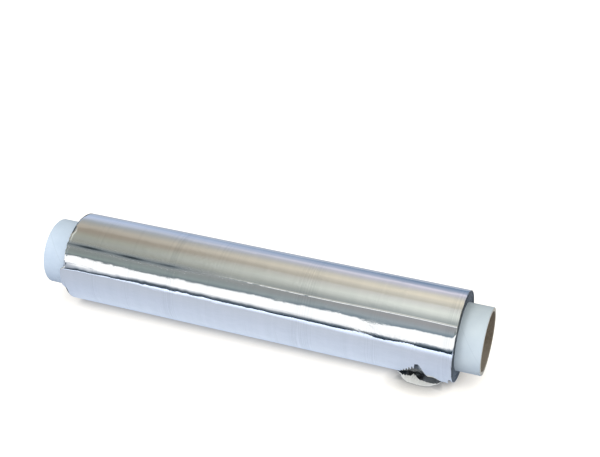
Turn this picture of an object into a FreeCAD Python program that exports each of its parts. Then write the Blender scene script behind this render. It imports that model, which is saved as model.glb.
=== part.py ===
import FreeCAD, Part
import math
import os

# A roll of aluminium foil on its card core, lying on its side.
# +X runs along the core towards the end with the torn corner, -Y is the side that shows it,
# and +Z is up. The origin is on the table, under the middle of the core. Sizes in millimetres.

# The core: a spirally wound card tube, longer than the foil is wide.
core_length = 340.0
core_diameter = 49.5
core_wall = 3.0
core_edge_break = 0.3

# The winding: some hundreds of turns of one strip of foil.
foil_width = 300.0
winding_diameter = 67.0
wrap_clearance = 0.05
right_stub = 18.0

# The slack outer turns settle on the table, which leaves a flat strip this wide.
flat_width = 9.0

# The turns don't end flush: bands of them stand back from the face of each end.
turn_bands = 6
band_setback = 0.35

# The last turn ends above the table in a saw-cut edge. Its thickness is drawn heavier
# than the real sheet, so that the edge shows. Angles are from the level of the axis at the
# front, and positive upwards.
sheet_step = 0.3
free_edge_angle = -58.0
table_line_angle = -80.0

# A corner is torn out of the last turn, near the right end. Places along the core are
# measured back from the foil's right edge.
tear_left = 39.0
tear_crotch = 28.2
tear_crotch_angle = -24.3
tear_apex = 24.5
tear_apex_angle = -15.7
tear_shoulder = 19.7
tear_shoulder_angle = -30.3
tear_right = 9.0
saw_tooth_pitch = 2.2
saw_tooth_depth = 1.6

# A short slit beside the right edge.
slit_from_edge = 3.3
slit_width = 1.6
slit_top_angle = -33.0

# The torn corner lies folded out on the table. It starts inside the flat strip and reaches
# out to the front, measured from under the axis. Its outline bulges at the left of its nose.
flap_root = 2.0
flap_side_reach = 15.5
flap_reach = 22.6
flap_far_reach = 20.6
flap_nose_from_left = 17.0
flap_far_from_left = 23.5
flap_bulge = 2.8
flap_thickness = 0.4

# At the left end the last turn has slipped a little past the others, low on the front.
lip_overhang = 3.2
lip_thickness = 0.4
lip_low_angle = -18.0
lip_high_angle = 14.0

core_radius = core_diameter / 2.0
bore_radius = core_radius - core_wall
winding_radius = winding_diameter / 2.0
winding_bore_radius = core_radius + wrap_clearance
axis_height = math.sqrt(winding_radius ** 2 - (flat_width / 2.0) ** 2)
foil_right = core_length / 2.0 - right_stub
foil_left = foil_right - foil_width

along_core = FreeCAD.Vector(1, 0, 0)
axis_point = FreeCAD.Vector(0, 0, axis_height)


def revolve_profile(points):
    """Turns an outline of (place along the core, radius) points round the core's axis."""
    corners = [FreeCAD.Vector(x, 0, axis_height + radius) for x, radius in points]
    outline = Part.makePolygon(corners + corners[:1])
    return Part.Face(outline).revolve(axis_point, along_core, 360)


def make_core():
    """The card tube, with the sharp corners of both rims broken."""
    end = core_length / 2.0
    right_rim = [
        (end - core_edge_break, bore_radius),
        (end, bore_radius + core_edge_break),
        (end, core_radius - core_edge_break),
        (end - core_edge_break, core_radius),
    ]
    left_rim = [(-x, radius) for x, radius in reversed(right_rim)]
    return revolve_profile(right_rim + left_rim)


def banded_end(face_x, inward):
    """The radial outline of one end of the winding, from its bore to its outside."""
    band_height = (winding_radius - winding_bore_radius) / turn_bands
    points = []
    for band in range(turn_bands):
        flush = (turn_bands - 1 - band) % 2 == 0
        x = face_x if flush else face_x + inward * band_setback
        low = winding_bore_radius + band * band_height
        points.append((x, low))
        points.append((x, low + band_height))
    return points


def ring(x, length, outer_radius, inner_radius):
    """A plain ring round the core's axis."""
    start = FreeCAD.Vector(x, 0, axis_height)
    outside = Part.makeCylinder(outer_radius, length, start, along_core)
    inside = Part.makeCylinder(inner_radius, length, start, along_core)
    return outside.cut(inside)


# The last turn is cut by a prism that points straight out of the roll, midway down its front.
cut_angle = (tear_apex_angle + free_edge_angle) / 2.0
cut_tilt = math.radians(cut_angle)
outward = FreeCAD.Vector(0, -math.cos(cut_tilt), math.sin(cut_tilt))
up_the_surface = FreeCAD.Vector(0, math.sin(cut_tilt), math.cos(cut_tilt))


def on_cut_plane(x, angle):
    """The point of the prism's outline that meets the roll's surface at this place."""
    rise = winding_radius * math.sin(math.radians(angle - cut_angle))
    return FreeCAD.Vector(x, 0, axis_height) + up_the_surface * rise


def saw_teeth(start, end):
    """Teeth along the last turn's edge, with their points inside the tear."""
    run = end - start
    along = run / run.Length
    side = along.cross(outward)
    points = []
    for tooth in range(int(run.Length / saw_tooth_pitch)):
        root = start + along * (tooth * saw_tooth_pitch)
        points.append(root)
        points.append(root + along * (saw_tooth_pitch / 2.0) + side * saw_tooth_depth)
    return points


def missing_sheet():
    """What the last turn leaves bare: the strip under its edge, the tear and the slit."""
    foot = on_cut_plane(foil_right - tear_left, free_edge_angle)
    crotch = on_cut_plane(foil_right - tear_crotch, tear_crotch_angle)
    slit_x = foil_right - slit_from_edge
    outline = [
        on_cut_plane(foil_left, table_line_angle),
        on_cut_plane(foil_left, free_edge_angle),
    ]
    outline += saw_teeth(foot, crotch)
    outline += [
        crotch,
        on_cut_plane(foil_right - tear_apex, tear_apex_angle),
        on_cut_plane(foil_right - tear_shoulder, tear_shoulder_angle),
        on_cut_plane(foil_right - tear_right, free_edge_angle),
        on_cut_plane(slit_x - slit_width / 2.0, free_edge_angle),
        on_cut_plane(slit_x, slit_top_angle),
        on_cut_plane(slit_x + slit_width / 2.0, free_edge_angle),
        on_cut_plane(foil_right, free_edge_angle),
        on_cut_plane(foil_right, table_line_angle),
    ]
    prism = Part.Face(Part.makePolygon(outline + outline[:1])).extrude(outward * winding_diameter)
    skin = ring(foil_left, foil_width, winding_diameter, winding_radius - sheet_step)
    return skin.common(prism)


def make_lip():
    """The edge of the last turn that stands past the left end, low on the front."""
    sweep = lip_high_angle - lip_low_angle
    start = FreeCAD.Vector(foil_left - lip_overhang, 0, axis_height)
    length = lip_overhang + band_setback * 2.0
    outside = Part.makeCylinder(winding_radius, length, start, along_core, sweep)
    inside = Part.makeCylinder(winding_radius - lip_thickness, length, start, along_core, sweep)
    lip = outside.cut(inside)
    # A part of a cylinder opens from straight above the axis towards the front.
    lip.rotate(axis_point, along_core, 90.0 - lip_high_angle)
    return lip


def make_flap():
    """The torn corner, a thin tongue on the table with a rounded nose."""
    left = foil_right - tear_left
    right = foil_right - tear_right
    root_left = FreeCAD.Vector(left, -flap_root, 0)
    root_right = FreeCAD.Vector(right, -flap_root, 0)
    side = FreeCAD.Vector(left, -flap_side_reach, 0)
    nose = FreeCAD.Vector(left + flap_nose_from_left, -flap_reach, 0)
    far = FreeCAD.Vector(left + flap_far_from_left, -flap_far_reach, 0)
    upwards = FreeCAD.Vector(0, 0, 1)
    outward_from_chord = (nose - side).cross(upwards).normalize()
    bulge = (side + nose) / 2.0 + outward_from_chord * flap_bulge
    edges = [
        Part.makeLine(root_left, side),
        Part.Arc(side, bulge, nose).toShape(),
        Part.makeLine(nose, far),
        Part.makeLine(far, root_right),
        Part.makeLine(root_right, root_left),
    ]
    return Part.Face(Part.Wire(edges)).extrude(upwards * flap_thickness)


def make_winding():
    """All the turns of foil, with the torn corner and its flap."""
    right_end = banded_end(foil_right, -1)
    left_end = list(reversed(banded_end(foil_left, 1)))
    turns = revolve_profile(right_end + left_end)
    turns = turns.cut(missing_sheet())
    turns = turns.fuse(make_lip())
    above_table = Part.makeBox(
        core_length, winding_diameter * 2.0, winding_diameter * 2.0,
        FreeCAD.Vector(-core_length / 2.0, -winding_diameter, 0),
    )
    turns = turns.common(above_table)
    return turns.fuse(make_flap()).removeSplitter()


os.makedirs("parts", exist_ok=True)
make_core().exportStep("parts/core_tube.step")
make_winding().exportStep("parts/foil_winding.step")
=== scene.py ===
import math

import bpy
import numpy as np
from mathutils import Euler, Matrix, Vector


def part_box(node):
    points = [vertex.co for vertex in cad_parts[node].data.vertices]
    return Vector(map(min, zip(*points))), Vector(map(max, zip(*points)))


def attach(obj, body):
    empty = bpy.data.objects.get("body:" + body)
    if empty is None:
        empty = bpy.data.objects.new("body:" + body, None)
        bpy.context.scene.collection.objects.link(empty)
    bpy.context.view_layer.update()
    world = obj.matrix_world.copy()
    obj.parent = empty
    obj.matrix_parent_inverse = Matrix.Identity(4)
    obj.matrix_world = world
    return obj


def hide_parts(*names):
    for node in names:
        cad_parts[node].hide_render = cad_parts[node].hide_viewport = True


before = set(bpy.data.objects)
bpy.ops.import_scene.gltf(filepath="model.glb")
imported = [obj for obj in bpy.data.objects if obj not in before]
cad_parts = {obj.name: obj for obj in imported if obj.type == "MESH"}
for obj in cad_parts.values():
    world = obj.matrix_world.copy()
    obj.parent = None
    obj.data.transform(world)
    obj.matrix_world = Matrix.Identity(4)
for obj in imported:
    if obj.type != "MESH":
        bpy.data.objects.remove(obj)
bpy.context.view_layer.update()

# Core: a spirally wound card tube. White paper is glued round the outside, the bore is bare
# grey-brown card, and the saw-cut rims show the plies. The foil is wound straight onto it.
MM = 0.001
core_low, core_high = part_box("core_tube")
core_end = core_high.x / MM
core_radius = (core_high.y - core_low.y) / 2 / MM
core_wall = 3.0
bore_radius = core_radius - core_wall
axis_height = (core_high.z + core_low.z) / 2 / MM
rim_round = 0.3
rim_points = 10
rim_ruffle = 0.05
ply_thickness = 0.6
ply_pitch = 106.0
joint_phase = -0.075
paper_depth = 0.35
bore_depth = 0.25
core_segments = 192


def linear(hex_colour):
    """The linear colour of an sRGB hex value, with alpha."""
    parts = [int(hex_colour[i:i + 2], 16) / 255 for i in (1, 3, 5)]
    return [p / 12.92 if p <= 0.04045 else ((p + 0.055) / 1.055) ** 2.4 for p in parts] + [1.0]


def add(tree, kind, inputs=None, links=None, stops=None, **settings):
    """Adds a shader node with its settings, the values of its inputs, links into them and,
    for a colour ramp, its (place, hex colour) stops."""
    node = tree.nodes.new("ShaderNode" + kind)
    for name, value in settings.items():
        setattr(node, name, value)
    for socket, value in (inputs or {}).items():
        node.inputs[socket].default_value = value
    for socket, source in (links or {}).items():
        tree.links.new(source, node.inputs[socket])
    if stops:
        elements = node.color_ramp.elements
        while len(elements) < len(stops):
            elements.new(0.5)
        for element, (place, hex_colour) in zip(elements, stops):
            element.position = place
            element.color = linear(hex_colour)
    return node


def new_material(name):
    """An empty node material, with its node tree and output node."""
    material = bpy.data.materials.new(name)
    material.use_nodes = True
    material.node_tree.nodes.clear()
    return material, material.node_tree, add(material.node_tree, "OutputMaterial")


def axis_coordinates(tree):
    """The place on the piece, its three parts, the height over the axis, and the radius."""
    place = add(tree, "TexCoord").outputs["Object"]
    split = add(tree, "SeparateXYZ", links={"Vector": place}).outputs
    level = add(tree, "Math", operation="SUBTRACT", inputs={1: axis_height * MM}, links={0: split["Z"]})
    from_axis = add(tree, "CombineXYZ", links={"Y": split["Y"], "Z": level.outputs[0]})
    radius = add(tree, "VectorMath", operation="LENGTH", links={0: from_axis.outputs[0]})
    return place, split, level.outputs[0], radius.outputs["Value"]


def grid_piece(name, points, materials, closed=False, face_materials=None, **attributes):
    """A smooth mesh through a grid of points in mm, closed along its second axis if asked."""
    rows, columns = points.shape[:2]
    index = np.arange(rows * columns).reshape(rows, columns)
    nearer, further = index[:, :-1], index[:, 1:]
    if closed:
        nearer, further = index, np.roll(index, -1, axis=1)
    corners = np.stack([nearer[:-1], nearer[1:], further[1:], further[:-1]], axis=-1).reshape(-1, 4)
    mesh = bpy.data.meshes.new(name)
    mesh.from_pydata((points.reshape(-1, 3) * MM).tolist(), [], corners.tolist())
    for label, values in attributes.items():
        layer = mesh.attributes.new(label, "FLOAT", "POINT")
        layer.data.foreach_set("value", np.ascontiguousarray(values, dtype=np.float32).ravel())
    mesh.polygons.foreach_set("use_smooth", [True] * len(mesh.polygons))
    for material in materials:
        mesh.materials.append(material)
    if face_materials is not None:
        mesh.polygons.foreach_set("material_index", face_materials.ravel().tolist())
    piece = bpy.data.objects.new(name, mesh)
    bpy.context.collection.objects.link(piece)
    return piece


def turned(x, radius, angles):
    """Points of an outline (x, radius) turned round the core's axis; angle 0 is the front."""
    turned_x = np.repeat(np.asarray(x, float)[:, None], len(angles), axis=1)
    radius = np.asarray(radius, float)[:, None]
    y = -radius * np.cos(angles)
    z = axis_height + radius * np.sin(angles)
    return np.stack([turned_x, y, z], axis=-1)


def rim_outline(end, inward):
    """One rim of the tube, from the bore round to the outside, with softened corners."""
    corner = np.radians([0, 22.5, 45, 67.5, 90])
    inner_x = end + inward * rim_round * (1 - np.sin(corner))
    inner_r = bore_radius + rim_round * (1 - np.cos(corner))
    outer_x = end + inward * rim_round * (1 - np.cos(corner))
    outer_r = core_radius - rim_round * (1 - np.sin(corner))
    rim_r = np.linspace(bore_radius + rim_round, core_radius - rim_round, rim_points + 2)[1:-1]
    rim_x = end + inward * rim_ruffle * (np.arange(rim_points) % 2)
    x = np.concatenate([inner_x, rim_x, outer_x])
    radius = np.concatenate([inner_r, rim_r, outer_r])
    return x, radius


# Card is dull all over. Its paper is white and faintly mottled, with painted light making it a little bluer
# towards the left end; the bore is grey-brown with darker fibres, and the rims show cream plies.
card, tree, output = new_material("spiral_wound_card")
place, split, level, radius = axis_coordinates(tree)
# Card fibres are about 1 mm long, and lie every way.
fibre = add(
    tree, "TexNoise", inputs={"Scale": 1 / (1.1 * MM), "Detail": 5.0, "Roughness": 0.65},
    links={"Vector": place},
).outputs["Fac"]
cloud = add(
    tree, "TexNoise", inputs={"Scale": 1 / (14 * MM), "Detail": 3.0}, links={"Vector": place},
).outputs["Fac"]
# Painted light: the paper's colour turns a little bluer towards the left end.
left_paper_painted_bluer = add(tree, "ValToRGB", stops=[(0.3, "#ccdbee"), (0.7, "#d6e4f6")], links={"Fac": cloud})
right_paper = add(tree, "ValToRGB", stops=[(0.3, "#ccd8e3"), (0.7, "#d6e1ea")], links={"Fac": cloud})
rightward = add(
    tree, "MapRange", inputs={"From Min": -150 * MM, "From Max": 150 * MM}, links={"Value": split["X"]},
)
paper = add(
    tree, "Mix", data_type="RGBA",
    links={0: rightward.outputs[0], 6: left_paper_painted_bluer.outputs["Color"], 7: right_paper.outputs["Color"]},
).outputs[2]
bare_card = add(
    tree, "ValToRGB", stops=[(0.25, "#74675a"), (0.5, "#8b7d6c"), (0.8, "#a29582")],
    links={"Fac": fibre},
).outputs["Color"]
# Painted light: the card is lightened on the bore's lower wall, which catches more light.
bore_lower_wall_painted_light = add(
    tree, "MapRange", links={"Value": split["Z"]},
    inputs={"From Min": 12 * MM, "From Max": 22 * MM, "To Min": 0.6, "To Max": 0.0},
)
bore_card = add(
    tree, "Mix", data_type="RGBA", inputs={7: linear("#b8aea2")},
    links={0: bore_lower_wall_painted_light.outputs[0], 6: bare_card},
).outputs[2]
rings = add(
    tree, "Math", operation="MULTIPLY", inputs={1: 2 * math.pi / (ply_thickness * MM)},
    links={0: radius},
)
rings = add(tree, "Math", operation="SINE", links={0: rings.outputs[0]})
rim_card = add(
    tree, "ValToRGB", stops=[(0.0, "#cfc8ba"), (0.9, "#ebe6da")], links={"Fac": rings.outputs[0]},
)
# The plies spiral: their butt joints cross the bore and show faintly through the paper.
around = add(tree, "Math", operation="ARCTAN2", links={0: level, 1: split["Y"]})
lean = add(
    tree, "Math", operation="MULTIPLY_ADD", inputs={1: -1 / (2 * math.pi), 2: joint_phase},
    links={0: around.outputs[0]},
)
spiral = add(
    tree, "Math", operation="MULTIPLY_ADD", inputs={1: 1 / (ply_pitch * MM)},
    links={0: split["X"], 2: lean.outputs[0]},
)
joint = add(tree, "Math", operation="PINGPONG", inputs={1: 0.5}, links={0: spiral.outputs[0]})
joint = add(
    tree, "MapRange", inputs={"From Min": 0.0, "From Max": 0.006}, links={"Value": joint.outputs[0]},
)
seam = add(tree, "MapRange", inputs={"To Min": 0.22, "To Max": 0.0}, links={"Value": joint.outputs[0]})
paper = add(
    tree, "Mix", data_type="RGBA", inputs={7: linear("#a9b8c4")}, links={0: seam.outputs[0], 6: paper},
).outputs[2]
outside = add(
    tree, "Math", operation="GREATER_THAN", inputs={1: (core_radius - paper_depth) * MM}, links={0: radius},
)
inside = add(
    tree, "Math", operation="LESS_THAN", inputs={1: (bore_radius + bore_depth) * MM}, links={0: radius},
)
skin = add(
    tree, "Mix", data_type="RGBA",
    links={0: outside.outputs[0], 6: rim_card.outputs["Color"], 7: paper},
).outputs[2]
skin = add(tree, "Mix", data_type="RGBA", links={0: inside.outputs[0], 6: skin, 7: bore_card}).outputs[2]
height = add(
    tree, "Math", operation="MULTIPLY_ADD", inputs={1: 0.5}, links={0: fibre, 2: joint.outputs[0]},
)
relief = add(
    tree, "Bump", inputs={"Strength": 0.5, "Distance": 0.05 * MM}, links={"Height": height.outputs[0]},
)
surface = add(
    tree, "BsdfPrincipled", inputs={"Roughness": 0.62},
    links={"Base Color": skin, "Normal": relief.outputs[0]},
)
tree.links.new(surface.outputs[0], output.inputs["Surface"])

right_x, right_r = rim_outline(core_end, -1)
left_x, left_r = rim_outline(-core_end, 1)
outline_x = np.concatenate([left_x, right_x[::-1], left_x[:1]])
outline_r = np.concatenate([left_r, right_r[::-1], left_r[:1]])
full_turn = np.linspace(0, 2 * math.pi, core_segments, endpoint=False)
core = grid_piece("core_tube_card", turned(outline_x, outline_r, full_turn), [card], closed=True)
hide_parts("core_tube")
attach(core, "root")

# Foil: one strip, bright on its outer side and matt on its inner side, wound tight. Rolling
# leaves fine lines round the roll, and the slack last turns ripple a little along it.
foil_low, foil_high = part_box("foil_winding")
foil_right = foil_high.x / MM
foil_width = 300.0
foil_left = foil_right - foil_width
winding_radius = (foil_high.y - foil_low.y) / 2 / MM
core_clearance = 0.05
winding_bore = core_radius + core_clearance
turns_below = 0.5
table_clearance = 0.12


def smooth(low, high, value):
    """Rises smoothly from 0 at low to 1 at high."""
    t = np.clip((value - low) / (high - low), 0, 1)
    return t * t * (3 - 2 * t)


def swell(value, middle, reach):
    """Swells smoothly to 1 at the middle, and has fallen to a third at its reach."""
    return np.exp(-((value - middle) / reach) ** 2)


def slack(x, angle):
    """How far the loose turns sink below the winding's true radius, in mm."""
    # Each ripple's depth and length in mm, its waves round the roll, and its start.
    ripples = [
        (0.100, 260.0, 3.0, 0.4),
        (0.036, -143.0, 6.0, 2.1),
        (0.018, 88.0, 11.0, 4.0),
        (0.008, -49.0, 18.0, 1.2),
        (0.004, 21.0, 31.0, 5.1),
    ]
    total = 0.0
    for depth, length, waves, start in ripples:
        total = total + depth * (1 + np.sin(2 * math.pi * x / length + waves * angle + start)) / 2
    return total * (1 + 0.7 * (1 - smooth(-110, 10, x)))


def foil_coordinates(tree):
    """Places on the foil in mm: along the core, and round the roll."""
    split = add(tree, "SeparateXYZ", links={"Vector": add(tree, "TexCoord").outputs["Object"]})
    along = add(tree, "Math", operation="MULTIPLY", inputs={1: 1 / MM}, links={0: split.outputs["X"]})
    around = add(tree, "Attribute", attribute_name="around")
    return along.outputs[0], around.outputs["Fac"]


def streaks(tree, along, around, across, length, detail=2.0):
    """Noise drawn out round the roll: streaks this far apart, and this long, in mm."""
    x = add(tree, "Math", operation="DIVIDE", inputs={1: across}, links={0: along})
    y = add(tree, "Math", operation="DIVIDE", inputs={1: length}, links={0: around})
    place = add(tree, "CombineXYZ", links={"X": x.outputs[0], "Y": y.outputs[0]}).outputs[0]
    noise = add(tree, "TexNoise", inputs={"Scale": 1.0, "Detail": detail}, links={"Vector": place})
    return noise.outputs["Fac"]


# The bright side was rolled against polished steel, so it mirrors the room almost sharply.
# The real rolling lines are finer than 0.1 mm; they are drawn 0.9 mm apart so that they show.
bright_foil, tree, output = new_material("bright_rolled_aluminium_foil")
along, around = foil_coordinates(tree)
rolling_lines = streaks(tree, along, around, 0.9, 70.0)
rolling_bands = streaks(tree, along, around, 7.0, 160.0, 3.0)
# Handling leaves fine creases that run along the roll.
long_creases = streaks(tree, along, around, 14.0, 1.8, 3.0)
# The rolling lines show most where the foil is a little worn.
worn = streaks(tree, along, around, 26.0, 400.0)
worn = add(tree, "MapRange", inputs={"From Min": 0.5, "From Max": 0.7}, links={"Value": worn})
plain = add(tree, "ValToRGB", stops=[(0.35, "#f0f2f3"), (0.65, "#f4f5f6")], links={"Fac": rolling_bands})
lined = add(tree, "ValToRGB", stops=[(0.42, "#e5e8ea"), (0.58, "#f5f6f7")], links={"Fac": rolling_lines})
metal = add(
    tree, "Mix", data_type="RGBA",
    links={0: worn.outputs[0], 6: plain.outputs["Color"], 7: lined.outputs["Color"]},
).outputs[2]
# A piece's shade darkens it, to grey at first and to nearly black where it is deepest.
shade = add(tree, "Attribute", attribute_name="shade").outputs["Fac"]
metal = add(
    tree, "Mix", data_type="RGBA", inputs={7: linear("#5c6c78")}, links={0: shade, 6: metal},
).outputs[2]
deepest = add(tree, "MapRange", inputs={"From Min": 0.8, "From Max": 1.0}, links={"Value": shade})
metal = add(
    tree, "Mix", data_type="RGBA", inputs={7: linear("#1c2329")},
    links={0: deepest.outputs[0], 6: metal},
).outputs[2]
# The foil is a little duller in its rolling lines, and where it is shaded.
gloss = add(tree, "MapRange", inputs={"To Min": 0.02, "To Max": 0.06}, links={"Value": rolling_lines})
gloss = add(
    tree, "Math", operation="MULTIPLY_ADD", inputs={1: 0.24}, links={0: shade, 2: gloss.outputs[0]},
)
# Small crinkles come in patches, and wherever a piece is marked as crumpled.
crumpled = add(tree, "Attribute", attribute_name="crumpled").outputs["Fac"]
patches = streaks(tree, along, around, 30.0, 14.0)
patches = add(tree, "MapRange", inputs={"From Min": 0.49, "From Max": 0.75}, links={"Value": patches})
patches = add(tree, "Math", operation="ADD", links={0: patches.outputs[0], 1: crumpled})
patches = add(tree, "Math", operation="MAXIMUM", inputs={1: 0.0}, links={0: patches.outputs[0]})
crinkles = streaks(tree, along, around, 3.2, 2.6, 3.0)
crinkles = add(tree, "Math", operation="MULTIPLY", links={0: crinkles, 1: patches.outputs[0]}).outputs[0]
# The reliefs lie one over the other. Each has its depth in mm.
relief = add(
    tree, "Bump", inputs={"Strength": 1.0, "Distance": 0.0022 * MM}, links={"Height": rolling_lines},
)
for pattern, depth in [(rolling_bands, 0.006), (long_creases, 0.009), (crinkles, 0.10)]:
    relief = add(
        tree, "Bump", inputs={"Strength": 1.0, "Distance": depth * MM},
        links={"Height": pattern, "Normal": relief.outputs[0]},
    )
# Where shade is painted, and where a piece is crumpled, the foil is less of a mirror. Deep in the tear the
# turns are crumpled too finely to see, and look like dull steel.
mirror = add(tree, "Math", operation="MULTIPLY_ADD", inputs={1: -0.55, 2: 1.0}, links={0: shade})
mirror = add(
    tree, "Math", operation="MULTIPLY_ADD", inputs={1: -0.12}, links={0: crumpled, 2: mirror.outputs[0]},
)
surface = add(
    tree, "BsdfPrincipled",
    links={
        "Base Color": metal, "Metallic": mirror.outputs[0],
        "Roughness": gloss.outputs[0], "Normal": relief.outputs[0],
    },
)
tree.links.new(surface.outputs[0], output.inputs["Surface"])

# The matt side was rolled against another sheet. It scatters light, so it looks almost white.
matt_foil, tree, output = new_material("matt_side_of_aluminium_foil")
along, around = foil_coordinates(tree)
grain = streaks(tree, along, around, 0.8, 6.0, 3.0)
tone = add(tree, "ValToRGB", stops=[(0.3, "#f8f8f3"), (0.7, "#fffffb")], links={"Fac": grain})
relief = add(tree, "Bump", inputs={"Strength": 0.6, "Distance": 0.03 * MM}, links={"Height": grain})
surface = add(
    tree, "BsdfPrincipled", inputs={"Metallic": 0.05, "Roughness": 0.5},
    links={"Base Color": tone.outputs["Color"], "Normal": relief.outputs[0]},
)
tree.links.new(surface.outputs[0], output.inputs["Surface"])

# Turns: the whole winding under the last turn. At each end the slit edges of the turns lie
# one over the other, and some bands of them stand back a little.
turn_bands = 6
band_setback = 0.35
band_height = (winding_radius - winding_bore) / turn_bands
band_steps = 5

# The slit edges trap light, so the stack of them looks darker than the sheet, with fine rings.
# The real turns are 0.011 mm apart; they are drawn every 0.25 mm so that they show.
edge_foil, tree, output = new_material("slit_edges_of_foil_turns")
radius = axis_coordinates(tree)[-1]
turn_rings = add(tree, "Math", operation="DIVIDE", inputs={1: 0.25 * MM}, links={0: radius})
swirl = add(tree, "CombineXYZ", links={"X": turn_rings.outputs[0]})
ring_noise = add(
    tree, "TexNoise", inputs={"Scale": 1.0, "Detail": 3.0}, links={"Vector": swirl.outputs[0]},
).outputs["Fac"]
tone = add(
    tree, "ValToRGB", stops=[(0.3, "#3b4147"), (0.5, "#5d646a"), (0.72, "#8d9499")],
    links={"Fac": ring_noise},
)
relief = add(tree, "Bump", inputs={"Strength": 0.8, "Distance": 0.05 * MM}, links={"Height": ring_noise})
surface = add(
    tree, "BsdfPrincipled", inputs={"Metallic": 0.75, "Roughness": 0.48},
    links={"Base Color": tone.outputs["Color"], "Normal": relief.outputs[0]},
)
tree.links.new(surface.outputs[0], output.inputs["Surface"])


def turn_edges(face_x, inward):
    """The outline of one end of the winding, from its bore to its outside, in fine steps."""
    x, radius = [], []
    for band in range(turn_bands):
        setback = 0.0 if (turn_bands - 1 - band) % 2 == 0 else band_setback
        for step in range(band_steps):
            low = winding_bore + (band + step / band_steps) * band_height
            ruffle = 0.04 * (1 + math.sin(2.4 * band + 2.9 * step))
            for height in (0.06, 0.94):
                x.append(face_x + inward * (setback + ruffle))
                radius.append(low + height * band_height / band_steps)
    radius[-1] = winding_radius - turns_below
    return np.array(x), np.array(radius)


# A corner of the last turn is torn out near the right end, and the turns behind it sag. The
# tear's outline has places back from the foil's right edge and angles in degrees.
free_edge_angle = -58.0
tear_foot = 39.0
tear_apex = 24.5
tear_end = 9.0
tear_outline = [
    (tear_foot, free_edge_angle), (38.0, -42.5), (35.5, -33.5), (32.8, -27.5), (30.4, -22.8),
    (28.2, -19.8), (26.2, -16.4), (tear_apex, -15.3), (23.2, -16.2), (21.6, -21.0),
    (19.7, -31.3), (17.5, -45.5), (14.0, -56.0), (tear_end, free_edge_angle),
]
tear_back, tear_angles = np.array(tear_outline).T
tear_places = foil_right - tear_back
tear_foot_x = foil_right - tear_foot
tear_apex_x = foil_right - tear_apex
tear_end_x = foil_right - tear_end


def tear_line(x):
    """The angle of the last turn's edge, in degrees, before its teeth."""
    return np.interp(x, tear_places, tear_angles)


def hollow(x, degrees):
    """How deep the turns behind the tear sag, in mm."""
    inside = smooth(tear_foot_x - 3, tear_apex_x, x) * (1 - smooth(tear_apex_x + 2, tear_end_x + 2, x))
    crumple = 1 + 0.24 * np.sin(x / 1.5 + degrees / 5.0) * np.sin(x / 2.7 - degrees / 3.4)
    return 1.3 * crumple * inside * (1 - smooth(-46, -12, degrees)) * smooth(-88, -66, degrees)


edge_right_x, edge_right_r = turn_edges(foil_right, -1)
edge_left_x, edge_left_r = turn_edges(foil_left, 1)
body_x = np.concatenate([
    np.linspace(foil_left + 0.3, foil_right - 50, 64),
    np.linspace(foil_right - 48, foil_right - 0.3, 60),
])
body_r = np.full(len(body_x), winding_radius - turns_below)
outline_x = np.concatenate([edge_left_x, body_x, edge_right_x[::-1], edge_left_x[:1]])
outline_r = np.concatenate([edge_left_r, body_r, edge_right_r[::-1], edge_left_r[:1]])
turn_angles = np.radians(np.linspace(-90, 270, 240, endpoint=False))
turns = turned(outline_x, outline_r, turn_angles)
first_body = len(edge_left_x)
last_body = first_body + len(body_x)
body = turns[first_body:last_body]
body_places = body_x[:, None]
turn_degrees = np.degrees(turn_angles)[None, :]
sunk = hollow(body_places, turn_degrees) + slack(body_places, turn_angles[None, :])
body[:, :, 1] += sunk * np.cos(turn_angles)
body[:, :, 2] -= sunk * np.sin(turn_angles)
turns[:, :, 2] = np.maximum(turns[:, :, 2], table_clearance)

# Behind the tear they are dark, but paler under its right slope, where light gets in.
bare = smooth(tear_foot_x - 6, tear_foot_x, body_places) * (1 - smooth(-13, -6, turn_degrees))
patchy = np.sin(body_places / 1.7 + turn_degrees / 6.0) * np.sin(body_places / 3.1 - turn_degrees / 4.0)
dark = (0.96 + 0.03 * patchy) * bare * (0.35 + 0.65 * smooth(-68, -56, turn_degrees))
right_slope = smooth(tear_apex_x, tear_apex_x + 2.5, body_places)
right_slope = right_slope * (1 - smooth(tear_end_x - 3, tear_end_x, body_places))
below_edge = tear_line(body_places) - turn_degrees
dark = dark * (1 - 0.5 * right_slope * swell(below_edge, 2, 9.0))
# Those under the ragged left edge are in its shadow.
left_gap = 0.95 * (1 - smooth(foil_left + 1.5, foil_left + 3.0, body_places))
turn_shade = np.zeros(turns.shape[:2])
turn_shade[first_body:last_body] = dark + left_gap * smooth(-16, -6, turn_degrees)
turn_crumple = np.zeros(turns.shape[:2])
turn_crumple[first_body:last_body] = 4.0 * right_slope * (1 - smooth(-15, -8, turn_degrees))
face_rows = np.zeros((len(outline_x) - 1, len(turn_angles)), int)
face_rows[:first_body] = 1
face_rows[last_body:] = 1
foil_turns = grid_piece(
    "foil_turns", turns, [bright_foil, edge_foil], closed=True, face_materials=face_rows,
    around=np.broadcast_to(turn_angles * winding_radius, turns.shape[:2]),
    shade=turn_shade, crumpled=turn_crumple,
)
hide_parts("foil_winding")
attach(foil_turns, "root")

# Last turn: the outermost sheet, torn off against a saw edge that leaves small teeth. Its free
# edge hangs just above the table, and its left edge has slipped out a little, low on the front.
tooth_pitch = 2.2
tooth_depth = 1.5
blunt_depth = 0.15
sheet_thickness = 0.06
ripple_room = 0.09
sheet_end_angle = 279.0
crease_angle = 43.4
tear_blend_angle = 24.0
slit_x = foil_right - 2.0
slit_half_width = 1.8
slit_height = 19.0


def saw(places):
    """Saw teeth along these places, from 0 at their roots to 1 at their points."""
    return np.abs((places / tooth_pitch) % 1 - 0.5) * 2


def thicken(sheet):
    """Gives a sheet its thickness, with the matt side behind."""
    thickness = sheet.modifiers.new("sheet", "SOLIDIFY")
    thickness.thickness = sheet_thickness * MM
    thickness.offset = -1.0
    thickness.material_offset = 1


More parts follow.
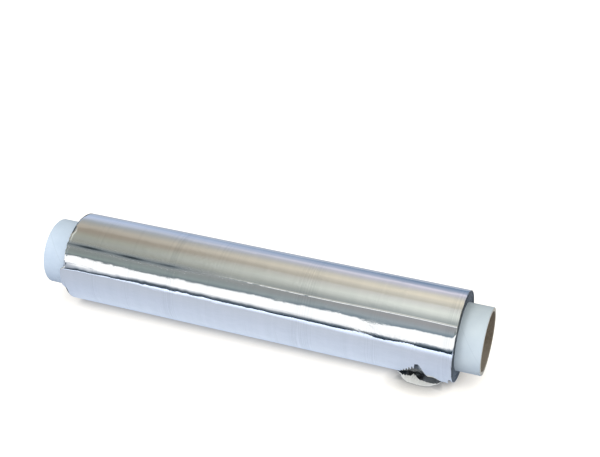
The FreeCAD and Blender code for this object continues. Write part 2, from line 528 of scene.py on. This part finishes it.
# The mesh is finest near the tear, and along the crease.
coarse_x = np.arange(foil_left, tear_foot_x - 4.4, 1.2)
fine_x = np.linspace(tear_foot_x - 4.4, foil_right, 80)
sheet_x = np.concatenate([coarse_x, fine_x])
sheet_degrees = np.concatenate([
    np.arange(free_edge_angle, 5.0, 2.1),
    np.arange(5.0, 36.0, 1.15),
    np.arange(36.0, crease_angle - 2.0, 1.8),
    np.arange(crease_angle - 2.0, crease_angle + 2.0, 0.34),
    np.arange(crease_angle + 2.0, 130, 2.4),
    np.linspace(130, sheet_end_angle, 30),
])
grid_x, grid_degrees = np.meshgrid(sheet_x, sheet_degrees, indexing="ij")

# The free edge: small teeth, the tear, which is ragged on its left side and nearly smooth
# from its top to the right, and a short slit.
steep = smooth(tear_foot_x - 1, tear_foot_x + 4, sheet_x)
deep = tooth_depth * (1 + 2.8 * steep)
deep = np.where(sheet_x > tear_apex_x - 2.0, blunt_depth, deep)
edge_degrees = tear_line(sheet_x) - np.degrees(saw(sheet_x - foil_left) * deep / winding_radius)
slit = np.clip(2.2 * (1 - np.abs(sheet_x - slit_x) / slit_half_width), 0, 1)
edge_degrees = edge_degrees + slit * slit_height
pull = np.clip((tear_blend_angle - grid_degrees) / (tear_blend_angle - free_edge_angle), 0, 1)
degrees = grid_degrees + (edge_degrees[:, None] - free_edge_angle) * pull

# A long crease follows the roll, straight enough to catch the light as one thin line.
crease_line = crease_angle + 1.6 * (1 - smooth(-130, 10, grid_x))
crease_line = crease_line + 0.5 * np.sin(grid_x / 21.0 + 2.2) + 0.4 * np.sin(grid_x / 57.0 + 0.4)
degrees = degrees + (crease_line - crease_angle) * swell(grid_degrees, crease_angle, 9.0)
angle = np.radians(degrees)
from_crease = np.radians(degrees - crease_line) * winding_radius
rng = np.random.default_rng(7)
specks = rng.random(len(sheet_x))[:, None] - 0.5
broken = (1.5 - 1.2 * smooth(20, 90, grid_x)) * specks
ridge_width = 0.46 + 0.16 * smooth(20, 110, grid_x)
ridge_height = 0.42 * ridge_width * smooth(-60, 20, grid_x) * (0.95 + broken)
ridge = ridge_height * np.clip(1 - np.abs(from_crease) / ridge_width, 0, 1)


def tilt_wave(places, tilts, level, width):
    """Height in mm of a wave that tilts the sheet by these degrees along its middle line."""
    jitter = np.convolve(rng.normal(size=len(sheet_x) + 2), [0.25, 0.5, 0.25], "valid")
    uneven = 0.35 + 0.25 * (1 - smooth(-60, 20, sheet_x))
    tilt = np.interp(sheet_x, places, tilts) + jitter * uneven
    middle = np.interp(sheet_x, *level)
    offset = np.radians(degrees - middle[:, None])
    rise = np.radians(tilt)[:, None] * winding_radius * offset
    return rise * swell(offset, 0, np.radians(width))


# Loose waves tilt the sheet by a degree or two, which bends the lines that it reflects. Each
# has (place, tilt) pairs, and the places and angles of its middle line.
low_tilts = [
    (-148, -4.0), (-136, -2.6), (-126, -2.7), (-116, -1.3), (-106, -0.5), (-96, 1.0), (-86, 1.6),
    (-57, 2.1), (-29, 1.5), (0, 1.2), (8, 0.8), (18, 0.0), (40, 0.5), (72, 0.6), (89, 0.3),
    (97, -1.0), (107, -1.2), (118, -0.6), (152, -0.8),
]
low_level = (
    [-148, -116, -96, -29, 10, 72, 98, 118, 152],
    [13, 15, 16.8, 16.6, 15.5, 14.3, 12, 12.8, 11.6],
)
high_tilts = [
    (-148, 0), (-136, 2.2), (-126, 1.2), (-116, 1.4), (-106, 0), (-96, -1.4), (-86, -1.8),
    (-77, -1.0), (-67, 0.1), (-57, 0.6), (8, 0), (18, 1.4), (27, 0.1), (63, -0.3), (72, -0.9),
    (80, 0.3), (89, 1.0), (98, -0.3), (107, -0.8), (115, 0), (124, 1.2), (141, 0.7), (152, 0),
]
high_level = ([-148, 152], [30.4, 30.4])
waves = tilt_wave(*zip(*low_tilts), low_level, 7.0)
waves = waves + tilt_wave(*zip(*high_tilts), high_level, 5.0)

# A few short wrinkles lie across the waves: place, half length, angle, height and half width.
wrinkles = [
    (119.0, 9.0, 13.2, 0.035, 2.4),
    (20.0, 5.0, 28.0, 0.030, 2.0),
    (92.0, 6.0, 27.5, 0.040, 2.0),
    (86.0, 3.0, 24.0, -0.060, 1.5),
    (95.0, 2.4, 23.5, 0.070, 1.4),
    (-118.0, 14.0, 27.0, 0.030, 2.0),
]
for place, reach, level, rise, width in wrinkles:
    wrinkle_line = level + 0.05 * (grid_x - place)
    waves = waves + rise * swell(grid_x, place, reach) * swell(degrees, wrinkle_line, width)

# The sheet ripples, lifts beside the tear, hangs loose near the right, and tucks in at both
# ends. Its edge flicks out at the slit, and curls and flares at the ends.
from_right = foil_right - grid_x
from_left = grid_x - foil_left
lift = 0.9 * swell(grid_x, tear_apex_x, 9.0) * (1 - smooth(-50, 6, degrees)) * smooth(-75, -58, degrees)
hang = 1.1 * smooth(tear_end_x - 6, tear_end_x, grid_x) * (1 - smooth(-57, -30, degrees))
hang = hang * (1 - 0.75 * smooth(slit_x - 3.0, slit_x - 1.0, grid_x))
tuck = 0.22 * np.exp(-from_right / 0.9) + 0.06 * np.exp(-from_left / 1.6) * smooth(-25, -5, degrees)
flick = 0.8 * swell(grid_x, slit_x - slit_half_width, 0.8) * (1 - smooth(-50, -38, degrees))
curl = 0.45 * smooth(28, 36, degrees) * (1 - smooth(36, 41, degrees)) * swell(from_right, 0, 0.9)
flare = 0.42 * smooth(16, 24, degrees) * (1 - smooth(64, 72, degrees)) * swell(from_left, 0, 0.8)
sheet_r = winding_radius - ripple_room - slack(grid_x, angle) + waves + ridge
sheet_r = sheet_r + lift + hang - tuck + flick + curl + flare

# Ragged ends: the left edge slips out by about 3 mm low on the front.
slip = 3.2 * smooth(-22, -12, degrees) * (1 - smooth(9, 15, degrees)) - 0.2
nicks = rng.random(len(sheet_degrees))[None, :]
ragged_left = (0.9 * nicks - 0.7) * smooth(12, 18, degrees) * (1 - smooth(150, 170, degrees))
notched_left = 1.7 * smooth(59, 62, degrees) * (1 - smooth(70, 73, degrees))
ragged_right = 0.25 * (1 + np.sin(degrees / 4.3) * np.sin(degrees / 9.1))
x = grid_x - slip * np.exp(-from_left / 5.0) + (ragged_left + notched_left) * np.exp(-from_left / 3.0)
x = x - ragged_right * np.exp(-from_right / 2.0)
y = -sheet_r * np.cos(angle)
z = np.maximum(axis_height + sheet_r * np.sin(angle), 0.0)

# At the left, shade is painted along the crease, so it shows as a dark fold.
crease_painted_shade = (0.90 + 0.07 * np.sin(grid_x / 5.5)) * swell(from_crease, 0, 2.3)
crease_painted_shade = crease_painted_shade * (1 - smooth(-75, 0, grid_x))
# Knocks have crumpled the front at a few places: place, angle, reach and amount.
crumpled_places = [
    (93, 26, 8, 3.0),
    (23, 28.5, 6, 1.5),
    (-95, 27, 30, 0.5),
    (-140, 24, 8, 0.8),
    (118, 14, 8, 0.6),
    (86, 14.5, 8, 1.5),
    (-10, 44, 25, 0.6),
]
crumpled = np.zeros(grid_x.shape)
for place, level, reach, amount in crumpled_places:
    crumpled += amount * swell(grid_x, place, reach) * swell(degrees, level, 3.5)
# It is smoothest low on the front, at the left.
crumpled -= 0.9 * swell(degrees, 14, 6.0) * (1 - smooth(20, 70, grid_x))
last_turn = grid_piece(
    "foil_last_turn", np.stack([x, y, z], axis=-1), [bright_foil, matt_foil],
    around=angle * winding_radius, shade=crease_painted_shade, crumpled=crumpled,
)
thicken(last_turn)
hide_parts("foil_winding")
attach(last_turn, "root")

# Torn flap: the torn-out corner, still joined under the roll. It lies out on the table, bright
# side up, and its nose is folded back over itself with the matt side and the saw teeth up.
flap_root = 3.5
flap_start = -0.12
flap_columns = 122
lower_steps = 14
fold_steps = 5
upper_steps = 16
fold_depth = 0.25

# Both outlines run across the flap, from 0 at its left foot to 1 at its right one. The front
# has the reach out from under the axis; the turned-back edge has that and its height, in mm.
flap_front = [
    (flap_start, 12.6), (0.0, 15.6), (0.04, 18.0), (0.116, 20.3), (0.182, 22.0), (0.288, 22.7),
    (0.415, 23.0), (0.544, 23.1), (0.661, 22.8), (0.767, 21.6), (0.83, 19.4), (0.93, 17.0), (1.0, 13.4),
]
turned_edge = [
    (flap_start, 12.4, 0.1), (0.0, 14.8, 0.3), (0.03, 16.5, 0.9), (0.083, 16.9, 1.3),
    (0.158, 17.1, 1.7), (0.238, 17.8, 2.1), (0.281, 17.3, 2.6), (0.315, 15.9, 3.0),
    (0.362, 16.7, 2.6), (0.411, 18.0, 2.1), (0.472, 19.1, 1.6), (0.548, 19.3, 1.2),
    (0.624, 19.5, 0.9), (0.698, 19.4, 0.7), (0.77, 19.3, 0.5), (0.818, 19.0, 0.4),
    (0.93, 16.9, 0.2), (1.0, 13.2, 0.2),
]
turned_places, turned_backs, turned_heights = zip(*turned_edge)
across = np.linspace(flap_start, 1, flap_columns)
flap_x = tear_foot_x + across * (tear_end_x - tear_foot_x)
front = np.interp(across, *zip(*flap_front))
back = np.interp(across, turned_places, turned_backs) + 0.6 * saw(flap_x) * (across < 0.5)
back = np.minimum(back, front - 0.3)
stand = np.interp(across, turned_places, turned_heights)[:, None]
flap_x, front, back, across = flap_x[:, None], front[:, None], back[:, None], across[:, None]

# The lower layer lies on the table, the fold bends up, and the upper layer runs back over it.
lower = np.linspace(0, 1, lower_steps)[None, :]
lower_y = flap_root + (front - flap_root) * lower
lower_z = table_clearance + 0.10 * np.sin(9 * across + 5 * lower) ** 2 * lower
fold = np.linspace(0, math.pi, fold_steps + 2)[None, 1:-1]
fold_rise = 0.25 + 0.2 * np.sin(np.clip(across, 0, 1) * math.pi)
fold_y = front + fold_depth * np.sin(fold)
fold_z = lower_z[:, -1:] + fold_rise * (1 - np.cos(fold)) / 2
upper = np.linspace(0, 1, upper_steps)[None, :]
upper_y = front + (back - front) * upper
crumple = 0.14 * np.sin(1.9 * flap_x + 3 * upper) * np.sin(2.6 * upper + 0.8 * flap_x)
pleats = 0.28 * np.sin(2 * math.pi * (flap_x + 0.5 * upper_y) / tooth_pitch)
pleats = pleats * (1 - smooth(0.45, 0.6, across))
upper_z = lower_z[:, -1:] + fold_rise + (stand + crumple + pleats) * upper
flap_y = np.concatenate([lower_y, fold_y, upper_y], axis=1)
flap_z = np.concatenate([lower_z, fold_z, upper_z], axis=1)
flap_points = np.stack([np.broadcast_to(flap_x, flap_y.shape), -flap_y, flap_z], axis=-1)
# Under the roll, at the flap's left, shade is painted on the bright side, which sees only the dark gap.
flap_shade = np.zeros(flap_y.shape)
flap_shade[:, :lower_steps] = 0.9 * (1 - smooth(0.08, 0.2, across))
flap = grid_piece(
    "foil_torn_flap", flap_points[::-1], [bright_foil, matt_foil],
    around=flap_y[::-1], shade=flap_shade[::-1],
)
thicken(flap)
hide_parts("foil_winding")
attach(flap, "root")

# Floor: a plain white table top. Its front edge passes close in front of the roll, outside
# the picture, and shows in the foil as the thin dark line that runs along it.
table_turn = math.radians(22.0)
table_front = 205.0
table_width = 3200.0
table_depth = 1900.0
edge_glow_width = 82.0
flap_place = (108 * MM, -71.5 * MM, 0.0)
painted_pool_place = (20 * MM, -70 * MM, 0.0)
floor_mesh = bpy.data.meshes.new("table_top")
half = table_width / 2
floor_corners = [(-half, -table_front), (half, -table_front), (half, table_depth), (-half, table_depth)]
floor_mesh.from_pydata([(a * MM, b * MM, 0.0) for a, b in floor_corners], [], [(0, 1, 2, 3)])
floor = bpy.data.objects.new("table_top", floor_mesh)
floor.rotation_euler = (0, 0, table_turn)
bpy.context.collection.objects.link(floor)

# The table is matt white paint. The picture shows it plain white, and the foil shows it a
# little darker.
table, tree, output = new_material("white_painted_table_top")
rays = add(tree, "LightPath").outputs
place = add(tree, "TexCoord").outputs["Object"]
in_foil = add(
    tree, "Math", operation="MULTIPLY_ADD", inputs={1: 0.1},
    links={0: rays["Is Glossy Ray"], 2: rays["Is Camera Ray"]},
)
seen = add(
    tree, "Math", operation="MAXIMUM", links={0: in_foil.outputs[0], 1: rays["Is Transmission Ray"]},
)
# Two soft shadows lie over each other, a wide one and one that hugs the thin flap. Each has
# its reach, the ring round the flap where it changes, and its depth inside and outside that.
# Inside the ring round the flap the shadow is painted deeper, set by place.
from_flap = add(
    tree, "VectorMath", operation="DISTANCE", inputs={1: flap_place}, links={0: place},
).outputs["Value"]
shadows = [
    (22, 10, 26, 1.3, 0.38),
    (7, 12, 19, 6.0, 0.4),
]
lit = seen.outputs[0]
for reach, ring_start, ring_end, depth_inside, depth_outside in shadows:
    open_sky = add(tree, "AmbientOcclusion", samples=16, inputs={"Distance": reach * MM})
    depth = add(
        tree, "MapRange", links={"Value": from_flap},
        inputs={
            "From Min": ring_start * MM, "From Max": ring_end * MM,
            "To Min": depth_inside, "To Max": depth_outside,
        },
    )
    kept_light = add(
        tree, "Math", operation="POWER", links={0: open_sky.outputs["AO"], 1: depth.outputs[0]},
    )
    lit = add(tree, "Math", operation="MULTIPLY", links={0: lit, 1: kept_light.outputs[0]}).outputs[0]
white = add(tree, "Emission", inputs={"Color": linear("#fffaf3")}, links={"Strength": lit})
# The paint is faintly speckled. A pool of light is painted in front of the roll, and falls off round it.
speckle = add(tree, "TexNoise", inputs={"Scale": 1 / (3 * MM), "Detail": 4.0})
tone = add(
    tree, "ValToRGB", stops=[(0.3, "#b6b5b4"), (0.7, "#bcbbba")], links={"Fac": speckle.outputs["Fac"]},
).outputs["Color"]
from_painted_pool = add(tree, "VectorMath", operation="DISTANCE", inputs={1: painted_pool_place}, links={0: place})
painted_light_falloff = add(
    tree, "MapRange", inputs={"From Min": 50 * MM, "From Max": 420 * MM},
    links={"Value": from_painted_pool.outputs["Value"]},
)
tone = add(
    tree, "Mix", data_type="RGBA", inputs={7: linear("#a0a1a3")}, links={0: painted_light_falloff.outputs[0], 6: tone},
).outputs[2]
# Painted light makes its front edge paler.
split = add(tree, "SeparateXYZ", links={"Vector": place})
edge = add(
    tree, "MapRange", interpolation_type="SMOOTHSTEP", links={"Value": split.outputs["Y"]},
    inputs={
        "From Min": -table_front * MM, "From Max": (edge_glow_width - table_front) * MM,
        "To Min": 1.0, "To Max": 0.0,
    },
)
tone = add(
    tree, "Mix", data_type="RGBA", inputs={7: linear("#ffffff")}, links={0: edge.outputs[0], 6: tone},
).outputs[2]
paint = add(tree, "BsdfDiffuse", links={"Color": tone})
# Painted light: beside the foil and along its front edge the table glows blue for diffuse and glossy rays,
# in place of the blue light that the foil throws down, and this shows in the foil again.
beside = add(tree, "AmbientOcclusion", samples=8, inputs={"Distance": 160 * MM}).outputs["AO"]
painted_glow_near_foil = add(tree, "Math", operation="MULTIPLY_ADD", inputs={1: -0.6, 2: 0.87}, links={0: beside})
painted_glow_strength = add(
    tree, "Math", operation="MULTIPLY_ADD", inputs={1: 0.6},
    links={0: edge.outputs[0], 2: painted_glow_near_foil.outputs[0]},
)
onto = add(
    tree, "Math", operation="MULTIPLY_ADD", inputs={1: 0.3},
    links={0: rays["Is Diffuse Ray"], 2: rays["Is Glossy Ray"]},
)
painted_glow_strength = add(tree, "Math", operation="MULTIPLY", links={0: painted_glow_strength.outputs[0], 1: onto.outputs[0]})
painted_glow_colour = add(tree, "ValToRGB", stops=[(0.35, "#a6b9d6"), (0.9, "#7fa6e8")], links={"Fac": beside})
painted_blue_glow = add(
    tree, "Emission", links={"Color": painted_glow_colour.outputs["Color"], "Strength": painted_glow_strength.outputs[0]},
)
both = add(tree, "AddShader", links={0: paint.outputs[0], 1: white.outputs[0]})
both = add(tree, "AddShader", links={0: both.outputs[0], 1: painted_blue_glow.outputs[0]})
tree.links.new(both.outputs[0], output.inputs["Surface"])
floor_mesh.materials.append(table)

# Light: a soft, even room, with a bright strip low in front, a grey wall over it and a warm
# pale ceiling. The camera sees plain white where it looks past the table.
lowest, highest = -40.0, 200.0
world = bpy.data.worlds.new("soft_room")
bpy.context.scene.world = world
world.use_nodes = True
tree = world.node_tree
tree.nodes.clear()
direction = add(tree, "SeparateXYZ", links={"Vector": add(tree, "TexCoord").outputs["Generated"]})
toward_front = add(tree, "Math", operation="MULTIPLY", inputs={1: -1.0}, links={0: direction.outputs["Y"]})
elevation = add(
    tree, "Math", operation="ARCTAN2", links={0: direction.outputs["Z"], 1: toward_front.outputs[0]},
)
spread = add(
    tree, "MapRange", inputs={"From Min": math.radians(lowest), "From Max": math.radians(highest)},
    links={"Value": elevation.outputs[0]},
)


def bands(*stops):
    """Ramp stops from (angle over the front horizon, hex colour) pairs."""
    return [((angle - lowest) / (highest - lowest), colour) for angle, colour in stops]


near_left = add(tree, "ValToRGB", links={"Fac": spread.outputs[0]}, stops=bands(
    (-40, "#b8c4d6"), (-22, "#343f4a"), (-5, "#3b4651"), (-3, "#5b6570"), (-1.5, "#9aa1ac"),
    (1, "#c8ccd3"), (3, "#ffffff"), (24, "#ffffff"), (26.5, "#6c7579"), (33, "#87928f"),
    (40, "#828a88"), (56, "#7e827f"), (66, "#92938a"), (78, "#9a9c95"), (88, "#9c9d92"),
    (100, "#978f83"), (107, "#988f82"), (113, "#aaa296"), (120, "#afa89c"), (135, "#9fa09e"),
    (143, "#a0a6ad"), (153, "#b4bccc"), (164, "#b6c2da"), (178, "#a2b2ca"),
))
near_right = add(tree, "ValToRGB", links={"Fac": spread.outputs[0]}, stops=bands(
    (-40, "#b8c4d6"), (-22, "#2c3945"), (-10, "#2c3945"), (-8, "#515d68"), (-6, "#808994"),
    (-4, "#b4bac3"), (-2, "#ffffff"), (23, "#ffffff"), (25.5, "#75848f"), (34, "#97a0a6"),
    (45, "#979799"), (52, "#97989a"), (60, "#a0a6a5"), (66, "#b5bab6"), (72, "#cdd1cb"),
    (80, "#dbdfd7"), (90, "#d2d3cd"), (96, "#cccbc5"), (102, "#bfbbaf"), (108, "#cac5b8"),
    (118, "#ded6c4"), (126, "#d3cdbe"), (134, "#c4c1be"), (142, "#c0bec8"), (150, "#d8d4e0"),
    (158, "#a0a8bc"), (170, "#8091aa"), (178, "#70839c"),
))
sideways = add(
    tree, "MapRange", inputs={"From Min": -0.42, "From Max": -0.18},
    links={"Value": direction.outputs["X"]},
)
room = add(
    tree, "Mix", data_type="RGBA",
    links={0: sideways.outputs[0], 6: near_left.outputs["Color"], 7: near_right.outputs["Color"]},
)
# Everything that isn't a mirror is lit by the same room, brighter towards the front.
rays = add(tree, "LightPath").outputs
soft_light = add(
    tree, "ValToRGB", stops=[(0.0, "#f8fbff"), (0.5, "#f2f4f4"), (1.0, "#c9cab8")],
    links={"Fac": direction.outputs["Z"]},
)
front_light = add(
    tree, "MapRange", inputs={"From Min": -1.0, "From Max": 1.0, "To Min": 0.62, "To Max": 1.22},
    links={"Value": toward_front.outputs[0]},
)
strength = add(
    tree, "Mix", data_type="FLOAT", inputs={2: 1.15},
    links={0: rays["Is Diffuse Ray"], 3: front_light.outputs[0]},
)
room_or_light = add(
    tree, "Mix", data_type="RGBA",
    links={0: rays["Is Diffuse Ray"], 6: room.outputs[2], 7: soft_light.outputs["Color"]},
)
room_light = add(
    tree, "Background", links={"Color": room_or_light.outputs[2], "Strength": strength.outputs[0]},
)
plain_white = add(tree, "Background", inputs={"Color": linear("#ffffff"), "Strength": 1.0})
past_table = add(
    tree, "Math", operation="MAXIMUM", links={0: rays["Is Camera Ray"], 1: rays["Is Transmission Ray"]},
)
choice = add(
    tree, "MixShader",
    links={0: past_table.outputs[0], 1: room_light.outputs[0], 2: plain_white.outputs[0]},
)
add(tree, "OutputWorld", links={"Surface": choice.outputs[0]})

# A soft lamp stands to the left in front, so the left end is a little brighter.
lamp_data = bpy.data.lights.new("soft_lamp", "AREA")
lamp_data.shape = "DISK"
lamp_data.size = 0.5
lamp_data.energy = 4.2
lamp = bpy.data.objects.new("soft_lamp", lamp_data)
lamp.location = (-0.35, -0.85, 0.85)
lamp_aim = Vector((0, 0, 0.03))
lamp.rotation_euler = (lamp_aim - lamp.location).to_track_quat("-Z", "Y").to_euler()
lamp.visible_glossy = False
bpy.context.collection.objects.link(lamp)

# Camera: above the front of the roll and to its right, as in the photograph.
camera_place = (273.7, -719.5, 526.0)
camera_turn = 18.86
camera_tilt = 60.43
camera_roll = 1.53
camera_data = bpy.data.cameras.new("camera")
camera_data.sensor_width = 36.0
camera_data.lens = 73.72
camera = bpy.data.objects.new("camera", camera_data)
aim = Euler((math.radians(camera_tilt), 0, math.radians(camera_turn))).to_matrix()
aim = aim @ Matrix.Rotation(math.radians(camera_roll), 3, "Z")
camera.matrix_world = Matrix.Translation(Vector(camera_place) * MM) @ aim.to_4x4()
bpy.context.collection.objects.link(camera)
bpy.context.scene.camera = camera

bpy.context.scene.view_settings.view_transform = "Standard"
